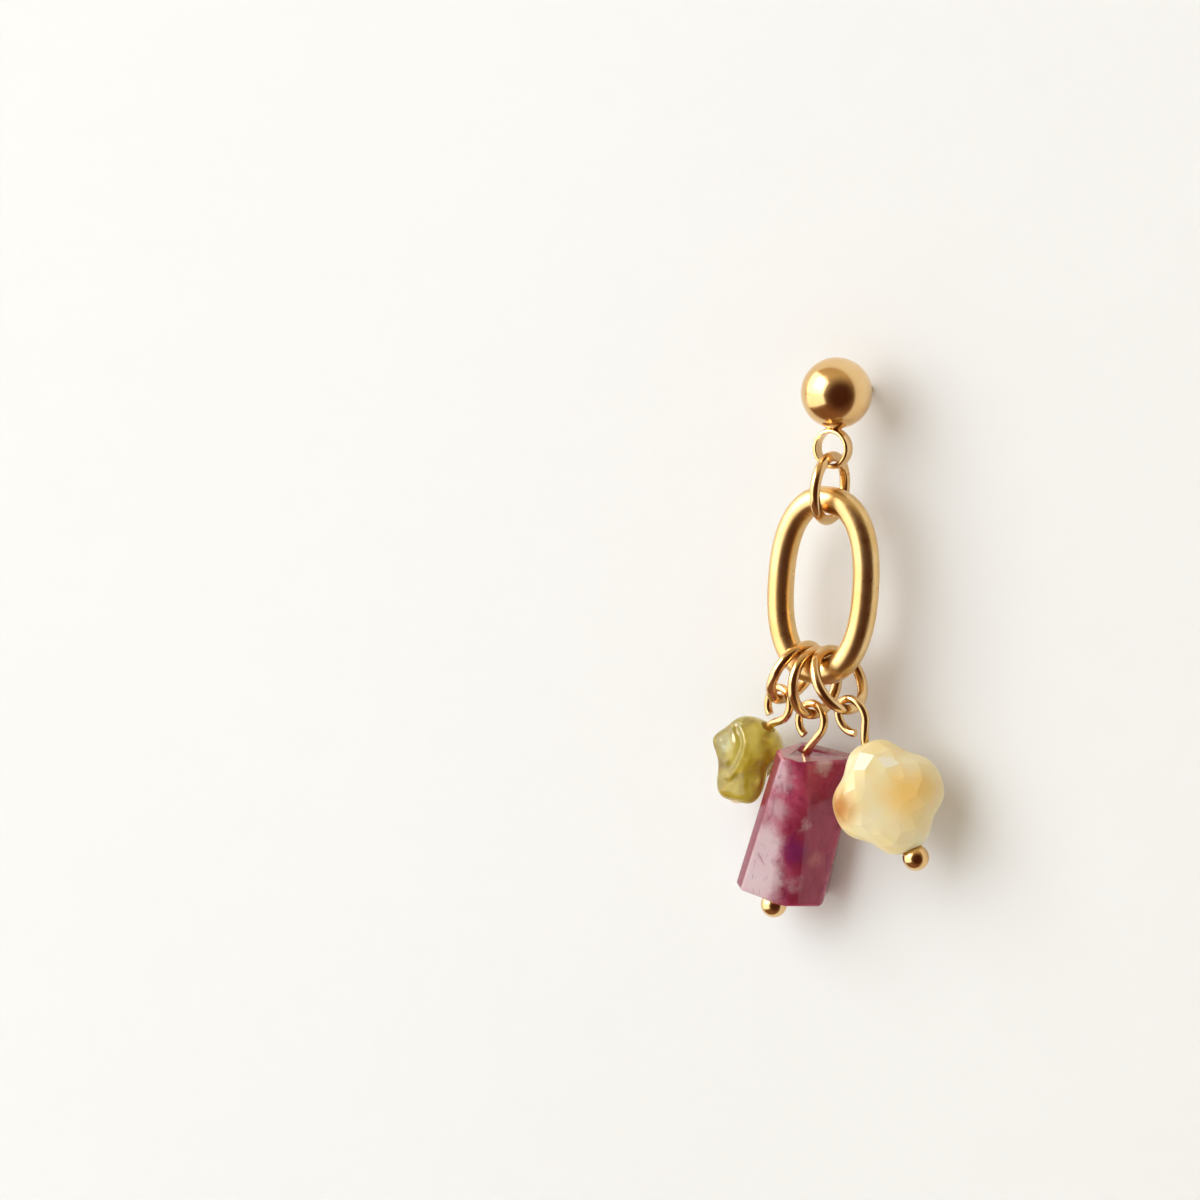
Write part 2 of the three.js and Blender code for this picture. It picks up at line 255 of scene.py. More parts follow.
# Top jump ring
# A ring of round gold-plated wire, cut once and closed by hand, so a hairline joint shows. It
# passes through the stud's loop and carries the oval link.
ring_radius = 2.25 * mm
ring_wire = 0.375 * mm
ring_joint = 0.08 * mm
ring_joint_turn = math.radians(25)
hang_gap = 0.1 * mm
ring_dip = ring_radius - math.sqrt(ring_radius ** 2 - (loop_width / 2) ** 2)
top_ring_middle = loop_middle - Vector((
    0, 0, loop_hole_radius - ring_wire - hang_gap - ring_dip + ring_radius,
))

ring_tree, ring_in, ring_out = new_group("jump ring", "GeometryNodeTree", [
    ("Ring Radius", "NodeSocketFloat", ring_radius), ("Wire Radius", "NodeSocketFloat", ring_wire),
    ("Joint", "NodeSocketFloat", ring_joint), ("Joint Turn", "NodeSocketFloat", 0.0),
    ("Metal", "NodeSocketMaterial", None),
], [("Ring", "NodeSocketGeometry")])


def arithmetic(tree, operation, *values):
    """The result of one Math node."""
    return add_node(tree, "ShaderNodeMath", dict(enumerate(values)), operation=operation).outputs[0]


cut_angle = arithmetic(ring_tree, "DIVIDE", ring_in["Joint"], ring_in["Ring Radius"])
arc_start = arithmetic(ring_tree, "MULTIPLY_ADD", cut_angle, 0.5, ring_in["Joint Turn"])
arc = add_node(ring_tree, "GeometryNodeCurveArc", {
    "Resolution": 120, "Radius": ring_in["Ring Radius"], "Start Angle": arc_start,
    "Sweep Angle": arithmetic(ring_tree, "SUBTRACT", 2 * math.pi, cut_angle),
})
wire_round = add_node(ring_tree, "GeometryNodeCurvePrimitiveCircle", {
    "Resolution": 28, "Radius": ring_in["Wire Radius"],
})
swept = add_node(ring_tree, "GeometryNodeCurveToMesh", {
    "Curve": arc.outputs["Curve"], "Profile Curve": wire_round.outputs["Curve"], "Fill Caps": True,
})


def end_tree(tree, shape, metal, end):
    """Ends a tree with its instances made real and its metal put on."""
    whole = add_node(tree, "GeometryNodeRealizeInstances", {0: shape})
    dressed = add_node(tree, "GeometryNodeSetMaterial", {
        "Geometry": whole.outputs[0], "Material": metal,
    })
    tree.links.new(dressed.outputs[0], end.inputs[0])


end_tree(ring_tree, swept.outputs[0], ring_in["Metal"], ring_out)


def grown(name, tree, values, place, path=None):
    """The plain object that a Geometry Nodes tree makes from its named inputs, put in its place."""
    piece = bpy.data.objects.new(name, path or bpy.data.meshes.new(name))
    scene.collection.objects.link(piece)
    modifier = piece.modifiers.new(name, "NODES")
    modifier.node_group = tree
    for socket in tree.interface.items_tree:
        if socket.name in values:
            modifier[socket.identifier] = values[socket.name]
    graph = bpy.context.evaluated_depsgraph_get()
    mesh = bpy.data.meshes.new_from_object(piece.evaluated_get(graph), depsgraph=graph)
    piece.modifiers.clear()
    piece.data = mesh
    mesh.transform(place)
    shell = bmesh.new()
    shell.from_mesh(mesh)
    bmesh.ops.recalc_face_normals(shell, faces=shell.faces)
    shell.to_mesh(mesh)
    shell.free()
    mesh.shade_smooth()
    mesh.set_sharp_from_angle(angle=math.radians(40))
    return piece


def placed(right, back, up, middle):
    """The matrix that takes X, Y and Z to three ways and the origin to a point."""
    return Matrix.Translation(middle) @ Matrix((right, back, up)).transposed().to_4x4()


top_ring = grown("top_wire_ring", ring_tree, {
    "Joint Turn": ring_joint_turn, "Metal": polished_gold,
}, placed(Vector((0, 1, 0)), Vector((0, 0, 1)), Vector((1, 0, 0)), top_ring_middle))
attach(top_ring, "top_ring")
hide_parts("top_jump_ring")


# Oval link
# A thick closed link cast in brass and plated, with a satin surface of fine tumbled grain. It
# hangs on the top ring, and the three drops hang round its foot.
link_wire = 0.95 * mm
link_half_width = 3.35 * mm
link_half_height = 6.1 * mm
link_power = 2 / 2.33  # the exponent of an oval a little squarer than an ellipse
link_middle = top_ring_middle - Vector((
    0, 0, ring_radius - ring_wire - hang_gap - link_wire + link_half_height,
))

link_tree, link_in, link_out = new_group("oval link", "GeometryNodeTree", [
    ("Half Width", "NodeSocketFloat", link_half_width),
    ("Half Height", "NodeSocketFloat", link_half_height),
    ("Wire Radius", "NodeSocketFloat", link_wire), ("Power", "NodeSocketFloat", link_power),
    ("Metal", "NodeSocketMaterial", None),
], [("Link", "NodeSocketGeometry")])
unit_circle = add_node(link_tree, "GeometryNodeCurvePrimitiveCircle", {
    "Resolution": 512, "Radius": 1.0,
})
on_circle = add_node(link_tree, "ShaderNodeSeparateXYZ", {
    0: add_node(link_tree, "GeometryNodeInputPosition").outputs[0],
})
squarer = []  # the circle's two coordinates, taken out towards the corners
for axis, half in (("X", "Half Width"), ("Y", "Half Height")):
    across = on_circle.outputs[axis]
    size = arithmetic(link_tree, "ABSOLUTE", across)
    size = arithmetic(link_tree, "POWER", size, link_in["Power"])
    signed = arithmetic(link_tree, "MULTIPLY", arithmetic(link_tree, "SIGN", across), size)
    squarer.append(arithmetic(link_tree, "MULTIPLY", signed, link_in[half]))
on_oval = add_node(link_tree, "ShaderNodeCombineXYZ", dict(enumerate(squarer)))
oval = add_node(link_tree, "GeometryNodeSetPosition", {
    "Geometry": unit_circle.outputs["Curve"], "Position": on_oval.outputs[0],
})
even_oval = add_node(link_tree, "GeometryNodeResampleCurve", {"Curve": oval.outputs[0], "Count": 220})
link_round = add_node(link_tree, "GeometryNodeCurvePrimitiveCircle", {
    "Resolution": 48, "Radius": link_in["Wire Radius"],
})
link_swept = add_node(link_tree, "GeometryNodeCurveToMesh", {
    "Curve": even_oval.outputs[0], "Profile Curve": link_round.outputs["Curve"],
})
end_tree(link_tree, link_swept.outputs[0], link_in["Metal"], link_out)

satin_gold = plated("satin gold", {
    "Warm Tone": (0.76, 0.50, 0.20, 1), "Pale Tone": (0.83, 0.59, 0.28, 1),
    "Least Roughness": 0.27, "Most Roughness": 0.34,
    "Grain Size": 14000.0, "Grain Depth": 0.0000012, "Scratch Depth": 0.00000003,
})
oval_link = grown("satin_oval_link", link_tree, {"Metal": satin_gold}, placed(
    Vector((1, 0, 0)), Vector((0, 0, 1)), Vector((0, -1, 0)), link_middle,
))
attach(oval_link, "drop")
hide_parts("oval_link")


# Three lower jump rings
# The same wire rings as the top one, opened and closed round the foot of the link. Each faces its
# own way, as it was left to hang, and carries one drop.
foot_turns = {"green": 246.7, "purple": 268.9, "yellow": 291.5}  # round the link, in degrees
ring_facings = {"green": (-9, -24.7), "purple": (-15.9, 0.3), "yellow": (-14.8, 30.2)}  # yaw, tilt
low_joint_turn = math.radians(150)
lowest_points = {}


def on_link(turn):
    """The point of the link's centre line at an angle, in degrees."""
    across, up = math.cos(math.radians(turn)), math.sin(math.radians(turn))
    return link_middle + Vector((
        link_half_width * math.copysign(abs(across) ** link_power, across), 0,
        link_half_height * math.copysign(abs(up) ** link_power, up),
    ))


for stone, foot in foot_turns.items():
    yaw, tilt = (math.radians(angle) for angle in ring_facings[stone])
    facing = Vector((math.cos(tilt) * math.cos(yaw), math.cos(tilt) * math.sin(yaw), math.sin(tilt)))
    down = (Vector((0, 0, -1)) + facing * facing.z).normalized()
    middle = on_link(foot) + down * (ring_radius - link_wire - ring_wire - hang_gap)
    lowest_points[stone] = middle + down * ring_radius
    ring = grown(f"wire_ring_{stone}", ring_tree, {
        "Joint Turn": low_joint_turn, "Metal": polished_gold,
    }, placed(down, facing.cross(down), facing, middle))
    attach(ring, "drop")
    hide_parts(f"jump_ring_{stone}")


# Three head pins
# Thin gold-plated wire with a ball at its foot. It runs up through its bead, bends over at the
# bead's top and is curled by hand into an open loop on its ring.
pin_wire = 0.29 * mm
pin_loop_half_width = 1.07 * mm
pin_loop_half_height = 1.26 * mm
pin_head = 0.935 * mm
pin_cut = -18  # where the loop's cut end stops, in degrees past straight down
kink_start = pin_wire * 1.6  # how far below the kink the wire starts to bend
kink_end = 0.45  # where the bend ends, a share of the way from the kink to the loop
bead_bore = 0.55 * mm
seat_gap = 0.08 * mm
head_nest = math.sqrt(pin_head ** 2 - bead_bore ** 2) + seat_gap
pin_leans = {"green": (-28.1, 13.7), "purple": (-11, 5.5), "yellow": (29.6, 5.1)}  # side, back
loop_turns = {"green": -19.5, "purple": -7, "yellow": -4.2}
necks = {"green": 0.32 * mm, "purple": 0.82 * mm, "yellow": 0.54 * mm}
clover_length = 8.27 * mm
bead_lengths = {"green": 5.4 * mm, "purple": 11 * mm, "yellow": clover_length}
seat_depths = {"green": 0, "purple": 0, "yellow": 0.32 * mm}  # how deep each head is sunk

pin_tree, pin_in, pin_out = new_group("head pin", "GeometryNodeTree", [
    ("Path", "NodeSocketGeometry", None), ("Wire Radius", "NodeSocketFloat", pin_wire),
    ("Head Radius", "NodeSocketFloat", pin_head), ("Head Place", "NodeSocketVector", (0.0, 0.0, 0.0)),
    ("Metal", "NodeSocketMaterial", None),
], [("Pin", "NodeSocketGeometry")])
pin_path = add_node(pin_tree, "GeometryNodeMeshToCurve", {"Mesh": pin_in["Path"]})
even_path = add_node(pin_tree, "GeometryNodeResampleCurve", {
    "Curve": pin_path.outputs[0], "Length": 0.12 * mm,
}, mode="LENGTH")
pin_round = add_node(pin_tree, "GeometryNodeCurvePrimitiveCircle", {
    "Resolution": 24, "Radius": pin_in["Wire Radius"],
})
pin_swept = add_node(pin_tree, "GeometryNodeCurveToMesh", {
    "Curve": even_path.outputs[0], "Profile Curve": pin_round.outputs["Curve"], "Fill Caps": True,
})
head = add_node(pin_tree, "GeometryNodeMeshUVSphere", {
    "Segments": 56, "Rings": 36, "Radius": pin_in["Head Radius"],
})
head_in_place = add_node(pin_tree, "GeometryNodeTransform", {
    "Geometry": head.outputs["Mesh"], "Translation": pin_in["Head Place"],
})
pin_joined = add_node(pin_tree, "GeometryNodeJoinGeometry")
pin_tree.links.new(pin_swept.outputs[0], pin_joined.inputs[0])
pin_tree.links.new(head_in_place.outputs[0], pin_joined.inputs[0])
end_tree(pin_tree, pin_joined.outputs[0], pin_in["Metal"], pin_out)


def on_loop(turn):
    """A point of a pin's loop at an angle from straight down."""
    return Vector((
        pin_loop_half_width * math.sin(turn), 0, -pin_loop_half_height * math.cos(turn),
    ))


def pin_points(stem, kink):
    """The wire's centre line: up the bead, over at the kink, and round the loop at the origin."""
    leave = math.acos(pin_loop_half_height / kink)
    bend = Vector((0, 0, -kink))
    start, end = bend - Vector((0, 0, kink_start)), bend.lerp(on_loop(leave), kink_end)
    points = [Vector((0, 0, -stem)).lerp(start, k / 12) for k in range(12)]
    for k in range(9):
        share = k / 8
        points.append(start.lerp(bend, share).lerp(bend.lerp(end, share), share))
    points += [end.lerp(on_loop(leave), k / 4) for k in range(1, 4)]
    last = 2 * math.pi + math.radians(pin_cut)
    return points + [on_loop(leave + (last - leave) * k / 64) for k in range(65)]


hangers = {}  # the frame of each pin, with its origin at the loop and Z up its stem
for stone, (side, back) in pin_leans.items():
    pin_way = Vector((math.tan(math.radians(side)), math.tan(math.radians(back)), -1)).normalized()
    up = -pin_way
    right = (Vector((1, 0, 0)) - up * up.x).normalized()
    loop_drop = pin_loop_half_height - ring_wire - pin_wire - hang_gap
    loop_place = lowest_points[stone] + pin_way * loop_drop
    hangers[stone] = placed(right, up.cross(right), up, loop_place)
    bead_top = pin_loop_half_height + pin_wire + necks[stone]
    stem = bead_top + bead_lengths[stone] - seat_depths[stone] + head_nest
    points = pin_points(stem, bead_top)
    path = bpy.data.meshes.new(f"pin_path_{stone}")
    path.from_pydata(points, [(k, k + 1) for k in range(len(points) - 1)], [])
    pin = grown(f"ball_head_pin_{stone}", pin_tree, {
        "Head Place": (0.0, 0.0, -stem), "Metal": polished_gold,
    }, hangers[stone] @ Matrix.Rotation(math.radians(loop_turns[stone]), 4, "Z"), path)
    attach(pin, "drop")
    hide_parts(f"headpin_{stone}")


# Green nugget bead
# A tumbled pebble of clear olive-green stone, lumpy and glassy, with a curled ridge down its front.
# It is drilled along its length and rests on the ball of its pin.
nugget_length = 5.4 * mm
nugget_width = 5.07 * mm
nugget_core = 0.9  # the stone without its lumps, a share of its half size
nugget_off_bore = (-0.055, -0.03)  # the middle to the right and back of the bore, shares of its width
# Each lump's way to the right, back and up, its height as a share of the half size, and its breadth
# in radians
nugget_lumps = [
    ((-0.95, -0.4, -0.18), 0.28, 0.42), ((0, -0.5, -0.73), 0.52, 0.42),
    ((0.65, -0.66, -0.55), 0.57, 0.4), ((-0.84, -0.4, -0.39), -0.22, 0.22),
    ((-0.58, -0.2, 0.69), 0.15, 0.5), ((0.51, -0.2, 0.69), 0.09, 0.45),
    ((-0.2, 0.85, -0.2), 0.1, 0.6), ((0.95, -0.1, -0.1), -0.22, 0.5),
    ((-0.64, -0.75, 0.16), -0.05, 0.17),
]
nugget_ridge = [  # the way to each point of the ridge, from its top to its foot
    (-0.45, -0.5, 0.74), (-0.23, -0.66, 0.71), (-0.04, -0.8, 0.6), (0.06, -0.92, 0.38), (0.1, -0.99, 0.1),
    (0.08, -0.96, -0.2), (0.0, -0.92, -0.42), (-0.2, -0.84, -0.5),
]
ridge_height, ridge_breadth = 0.085, 0.095
groove_depth, groove_breadth, groove_offset = 0.06, 0.13, 0.19  # the hollow on the ridge's left
bore_past = 0.75  # how far the drill reaches from a bead's middle, a share of its length


def bead_middle(stone):
    """How far a bead's middle is above the centre of its pin's loop, so a value below zero."""
    return -(pin_loop_half_height + pin_wire + necks[stone]) - bead_lengths[stone] / 2


def in_bead(stone, right, back, up):
    """The place of a point given from a bead's middle."""
    return hangers[stone] @ Vector((right, back, up + bead_middle(stone)))


def bore_through(piece, stone):
    """Drills a bead along its pin and hollows its foot for the head of the pin."""
    place, middle_z, length = hangers[stone], bead_middle(stone), bead_lengths[stone]
    tool = bmesh.new()
    low, high = middle_z - length * bore_past, middle_z + length * bore_past
    add_turned(tool, [(0, low), (bead_bore, low), (bead_bore, high), (0, high)], place, 40)
    cutters = [make_piece("bore", tool)]
    tool = bmesh.new()
    seat = Matrix.Translation((0, 0, middle_z - length / 2 + seat_depths[stone] - head_nest))
    add_turned(tool, half_circle(pin_head + seat_gap, 24), place @ seat, 40)
    cutters.append(make_piece("seat", tool))
    for cutter in cutters:
        cut = piece.modifiers.new(cutter.name, "BOOLEAN")
        cut.operation, cut.solver, cut.object = "DIFFERENCE", "EXACT", cutter
    graph = bpy.context.evaluated_depsgraph_get()
    drilled = bpy.data.meshes.new_from_object(piece.evaluated_get(graph), depsgraph=graph)
    piece.modifiers.clear()
    piece.data = drilled
    for cutter in cutters:
        bpy.data.objects.remove(cutter)


def near_path(way, path):
    """The least angle from a direction to a line through other directions."""
    least = math.pi
    for start, end in zip(path, path[1:]):
        along = end - start
        share = min(max((way - start).dot(along) / along.length_squared, 0), 1)
        least = min(least, way.angle(start + along * share))
    return least


nugget = bmesh.new()
bmesh.ops.create_uvsphere(nugget, u_segments=240, v_segments=160, radius=1)
lumps = [(Vector(way).normalized(), height, breadth) for way, height, breadth in nugget_lumps]
ridge = [Vector(way).normalized() for way in nugget_ridge]
groove = [(way + Vector((-groove_offset, 0, 0))).normalized() for way in ridge]
for vert in nugget.verts:
    way = vert.co.normalized()
    reach = nugget_core + sum(
        height * math.exp(-((way.angle(lump) / breadth) ** 2)) for lump, height, breadth in lumps
    )
    reach += ridge_height * math.exp(-((near_path(way, ridge) / ridge_breadth) ** 2))
    reach -= groove_depth * math.exp(-((near_path(way, groove) / groove_breadth) ** 2))
    vert.co = in_bead(
        "green", (way.x * reach / 2 + nugget_off_bore[0]) * nugget_width,
        (way.y * reach / 2 + nugget_off_bore[1]) * nugget_width, way.z * reach / 2 * nugget_length,
    )
nugget_bead = make_piece("olive_nugget", nugget, 80)
bore_through(nugget_bead, "green")

# A zone of another colour in a stone: full within its reach of a middle, and fading out over its
# softness, with its border broken up by the stone's own cloudiness
zone, zone_in, zone_out = new_group("stone zone", "ShaderNodeTree", [
    ("Middle", "NodeSocketVector", (0.0, 0.0, 0.0)), ("Reach", "NodeSocketFloat", 0.001),
    ("Softness", "NodeSocketFloat", 0.001), ("Raggedness", "NodeSocketFloat", 0.0005),
], [("Mask", "NodeSocketFloat")])
spot = add_node(zone, "ShaderNodeTexCoord").outputs["Object"]
wisps = add_node(zone, "ShaderNodeTexNoise", {
    "Vector": spot, "Scale": 760.0, "Detail": 8.0, "Roughness": 0.7,
})
wisps_even = add_node(zone, "ShaderNodeVectorMath", {
    0: wisps.outputs["Color"], 1: (0.5, 0.5, 0.5),
}, operation="SUBTRACT").outputs[0]
wisps_out = add_node(zone, "ShaderNodeVectorMath", {
    0: wisps_even, "Scale": zone_in["Raggedness"],
}, operation="SCALE").outputs[0]
ragged = add_node(zone, "ShaderNodeVectorMath", {0: spot, 1: wisps_out}).outputs[0]
off = add_node(zone, "ShaderNodeVectorMath", {
    0: ragged, 1: zone_in["Middle"],
}, operation="DISTANCE").outputs["Value"]
zone_end = arithmetic(zone, "ADD", zone_in["Reach"], zone_in["Softness"])
fade = add_node(zone, "ShaderNodeMapRange", {0: off, 1: zone_in["Reach"], 2: zone_end, 3: 1.0, 4: 0.0})
fade.interpolation_type = "SMOOTHSTEP"
zone.links.new(fade.outputs[0], zone_out.inputs["Mask"])


def zoned(tree, color, other, stone, middle, reach, softness, raggedness, share=1.0):
    """A colour with a zone of another, its middle from the bead's and its sizes in millimetres."""
    made = tree.nodes.new("ShaderNodeGroup")
    made.node_tree = zone
    made.inputs["Middle"].default_value = in_bead(stone, *(part * mm for part in middle))
    made.inputs["Reach"].default_value = reach * mm
    made.inputs["Softness"].default_value = softness * mm
    made.inputs["Raggedness"].default_value = raggedness * mm
    mask = arithmetic(tree, "MULTIPLY", made.outputs["Mask"], share)
    return mixed(tree, mask, color, other)


green_stone, tree, shader = new_material("olive stone")
spot = add_node(tree, "ShaderNodeTexCoord").outputs["Object"]
cloud = noise(tree, spot, 420.0, 4.0, distortion=0.8)
fleck = noise(tree, spot, 2400.0, 3.0)
deep_olive, pale_olive, painted_edge_shade = (0.6, 0.46, 0.04, 1), (0.78, 0.67, 0.17, 1), (0.3, 0.24, 0.05, 1)
olive = mixed(tree, ranged(tree, cloud, 0.35, 0.66), deep_olive, pale_olive)
for color, *zone_sizes in (  # milky at the left, brown below it, and clear yellow at the foot
    ((0.8, 0.8, 0.42, 1), (-1.8, -1.9, 0.45), 0.2, 0.7, 0.5, 0.9),
    ((0.4, 0.24, 0.01, 1), (-1.5, -1.9, -1.3), 0.0, 1.0, 0.9, 0.7),
    ((0.92, 0.8, 0.16, 1), (0.4, -2.7, -1.9), 0.2, 0.8, 0.6),
):
    olive = zoned(tree, olive, color, "green", *zone_sizes)
olive = mixed(tree, ranged(tree, fleck, 0.6, 0.75, 0.0, 0.35), olive, (0.9, 0.82, 0.36, 1))
# Painted shade: the stone darkens to olive towards its outline, where it is seen edge-on
edge_on = add_node(tree, "ShaderNodeLayerWeight", {"Blend": 0.4}).outputs["Facing"]
olive = mixed(tree, ranged(tree, edge_on, 0.78, 0.99, 0.0, 0.6), olive, painted_edge_shade)
tree.links.new(olive, shader.inputs["Base Color"])
shader.inputs["Roughness"].default_value = 0.035
shader.inputs["IOR"].default_value = 1.56
shader.inputs["Transmission Weight"].default_value = 0.62
shader.inputs["Subsurface Weight"].default_value = 0.8
shader.inputs["Subsurface Radius"].default_value = (1.0, 0.8, 0.3)
shader.inputs["Subsurface Scale"].default_value = 0.0012
tree.links.new(add_node(tree, "ShaderNodeBump", {
    "Strength": 0.7, "Distance": 0.00004, "Height": noise(tree, spot, 1100.0, 2.0),
}).outputs[0], shader.inputs["Normal"])
nugget_bead.data.materials.clear()
nugget_bead.data.materials.append(green_stone)
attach(nugget_bead, "drop")
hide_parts("green_nugget_bead")


# Purple column bead
# A six-sided column ground from cloudy magenta stone with slanting sides, and polished. Its edges
# are broken by bevels, crisp at the front and worn round elsewhere. It is drilled end to end.
column_width = 6.6 * mm
# The corners to the right and to the back of the bore, as shares of the width
column_foot = [(-0.43, -0.16), (-0.29, -0.29), (0.25, -0.28), (0.52, 0.09), (0.36, 0.55), (-0.33, 0.3)]
column_top = [(-0.24, -0.21), (-0.07, -0.41), (0.15, -0.4), (0.51, 0.35), (0.37, 0.46), (-0.19, 0.29)]
crisp_bevel, worn_bevel = 0.22 * mm, 1.1 * mm
left_bevel, back_bevel, end_bevel = 0.3 * mm, 0.5 * mm, 0.3 * mm
highlight_reach, highlight_share, highlight_end = crisp_bevel * 0.55, 0.8, 0.04  # how far the painted highlight reaches from the crisp edge, how strong it is, and how far it stays from the ends

column = bmesh.new()
column_half = bead_lengths["purple"] / 2
ends = []
for corners, height in ((column_foot, -column_half), (column_top, column_half)):
    ends.append([
        column.verts.new(in_bead("purple", x * column_width, y * column_width, height))
        for x, y in corners
    ])
column.faces.new(reversed(ends[0]))
column.faces.new(ends[1])
for k in range(6):
    column.faces.new((ends[0][k], ends[0][(k + 1) % 6], ends[1][(k + 1) % 6], ends[1][k]))
width_share = column.edges.layers.float.new("bevel_weight_edge")
for edge in column.edges:
    edge[width_share] = end_bevel / worn_bevel
for corner, bevel in enumerate((left_bevel, crisp_bevel, worn_bevel, *[back_bevel] * 3)):
    column.edges.get((ends[0][corner], ends[1][corner]))[width_share] = bevel / worn_bevel
column_bead = make_piece("magenta_column", column, 50)
rounding = column_bead.modifiers.new("rounding", "BEVEL")
rounding.width, rounding.segments, rounding.limit_method = worn_bevel, 6, "WEIGHT"
bore_through(column_bead, "purple")
# A painted highlight runs pale along the crisp edge's bevel, where it catches the light
edge_highlight = column_bead.data.attributes.new("edge_highlight", "FLOAT", "POINT")
edge_top, edge_foot = (
    in_bead("purple", x * column_width, y * column_width, height)
    for (x, y), height in ((column_top[1], column_half), (column_foot[1], -column_half))
)
along = edge_foot - edge_top
for vert in column_bead.data.vertices:
    share = min(max((vert.co - edge_top).dot(along) / along.length_squared, highlight_end), 1 - highlight_end)
    if (vert.co - edge_top - along * share).length < highlight_reach:
        edge_highlight.data[vert.index].value = highlight_share

purple_stone, tree, shader = new_material("magenta stone")
spot = add_node(tree, "ShaderNodeTexCoord").outputs["Object"]
slanted = add_node(tree, "ShaderNodeMapping", {
    "Vector": spot, "Rotation": (0, 0.7, 0), "Scale": (1.5, 1, 0.7),
}).outputs[0]
cloud = noise(tree, slanted, 330.0, 7.0, 0.62, 0.7)
streak = noise(tree, slanted, 900.0, 5.0, 0.65, 1.0)
deep_magenta, pale_magenta = (0.22, 0.01, 0.04, 1), (0.52, 0.08, 0.16, 1)
lilac, dark_violet, warm_pink = (0.64, 0.48, 0.51, 1), (0.22, 0.02, 0.11, 1), (0.62, 0.25, 0.2, 1)
dark_streak, painted_highlight_white = (0.2, 0.008, 0.07, 1), (0.95, 0.88, 0.88, 1)
cloud_raggedness = 2.6
magenta = mixed(tree, ranged(tree, cloud, 0.36, 0.66), deep_magenta, pale_magenta)
for middle, reach, softness, share in (  # the pale clouds, up the front and on its right
    ((-1.6, -2.0, -5.2), 1.2, 2.2, 0.95), ((-0.6, -2.0, -3.2), 0.8, 1.6, 0.9),
    ((-0.7, -2.2, -1.0), 0.5, 1.6, 0.9), ((-0.3, -2.2, 1.6), 0.1, 1.5, 0.55),
    ((-0.5, -2.4, 4.2), 0.5, 1.3, 0.7), ((2.0, -0.6, 5.3), 0.3, 0.9, 0.9),
    ((1.9, -1.4, 0.6), 0.1, 0.7, 0.6), ((1.8, -1.2, -3.9), 0.0, 0.9, 0.5),
):
    magenta = zoned(
        tree, magenta, lilac, "purple", middle, reach, softness, cloud_raggedness, share,
    )
outward = add_node(tree, "ShaderNodeTexCoord").outputs["Normal"]
turned = hangers["purple"].to_3x3()
for way, color, share in (  # painted shade on the left and right sides, and a painted pale reflection on the top end
    ((-0.76, -0.64, 0), (0.24, 0.012, 0.05, 1), 0.95), ((0, 0, 1), (0.55, 0.36, 0.36, 1), 0.6),
    ((0.9, -0.43, 0), (0.27, 0.008, 0.03, 1), 0.35),
):
    painted_side_shading = add_node(tree, "ShaderNodeVectorMath", {
        0: outward, 1: tuple(turned @ Vector(way).normalized()),
    }, operation="DOT_PRODUCT").outputs["Value"]
    magenta = mixed(tree, ranged(tree, painted_side_shading, 0.86, 0.97, 0.0, share), magenta, color)
magenta = zoned(
    tree, magenta, dark_violet, "purple", (1.6, -1.7, -1.2), 0.2, 1.2, cloud_raggedness, 0.9,
)
magenta = zoned(tree, magenta, warm_pink, "purple", (2.9, -0.2, -1.8), 0.1, 0.8, 1.2, 0.7)
magenta = mixed(tree, ranged(tree, streak, 0.56, 0.7, 0.0, 0.7), magenta, dark_streak)
# The painted highlight along the crisp edge, mixed towards white
edge_highlight_mask = add_node(tree, "ShaderNodeAttribute", attribute_name="edge_highlight").outputs["Fac"]
magenta = mixed(tree, edge_highlight_mask, magenta, painted_highlight_white)
tree.links.new(magenta, shader.inputs["Base Color"])
shader.inputs["Roughness"].default_value = 0.09
shader.inputs["IOR"].default_value = 1.42
shader.inputs["Subsurface Weight"].default_value = 0.45
shader.inputs["Subsurface Radius"].default_value = (1.0, 0.2, 0.35)
shader.inputs["Subsurface Scale"].default_value = 0.001
shader.inputs["Coat Weight"].default_value = 0.15
shader.inputs["Coat Roughness"].default_value = 0.03
tree.links.new(add_node(tree, "ShaderNodeBump", {
    "Strength": 0.5, "Distance": 0.00001, "Height": streak,
}).outputs[0], shader.inputs["Normal"])
column_bead.data.materials.clear()
column_bead.data.materials.append(purple_stone)
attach(column_bead, "drop")
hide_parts("purple_column_bead")


# Yellow clover bead
# A four-lobed bead of milky honey-coloured stone, ground in staggered rows of kite-shaped facets
# round a small table on each side, and drilled across its width.
clover_width = 7.9 * mm
clover_thickness = 4.36 * mm
clover_notch = 0.14  # how deep the notches between the lobes are, a share of the radius
clover_lobe_turn = math.radians(2)
clover_turn = math.radians(26)  # how far the clover has turned on its pin
clover_place = hangers["yellow"] @ Matrix.Rotation(clover_turn, 4, "Z")
clover_place = clover_place @ Matrix.Translation((0, 0, bead_middle("yellow")))
table_share = 0.38  # how far the flat table reaches
table_shift = Vector((-0.8 * mm, 0, -0.25 * mm))  # the table is ground off the middle
rim_row = 4  # rows are counted from the middle of the front table, over the rim, to that of the back
reach_power, height_power = 0.85, 0.9  # below 1, so fuller than an ellipse in section


def on_clover(row, turn):
    """A point of the clover at a row and a turn."""
    side = -1 if row <= rim_row else 1
    row = row if row <= rim_row else 2 * rim_row - row
    bend = max(row - 1, 0) / (rim_row - 1) * math.pi / 2
    reach = table_share * min(row, 1) + (1 - table_share) * math.sin(bend) ** reach_power
    height = math.cos(bend) ** height_power
    lobed = reach * (1 - clover_notch * math.sin(2 * turn) ** 4)
    return clover_place @ (table_shift * (1 - reach) + Vector((
        lobed * math.cos(turn - clover_lobe_turn) * clover_width / 2,
        side * height * clover_thickness / 2,
        lobed * math.sin(turn - clover_lobe_turn) * clover_length / 2,
    )))


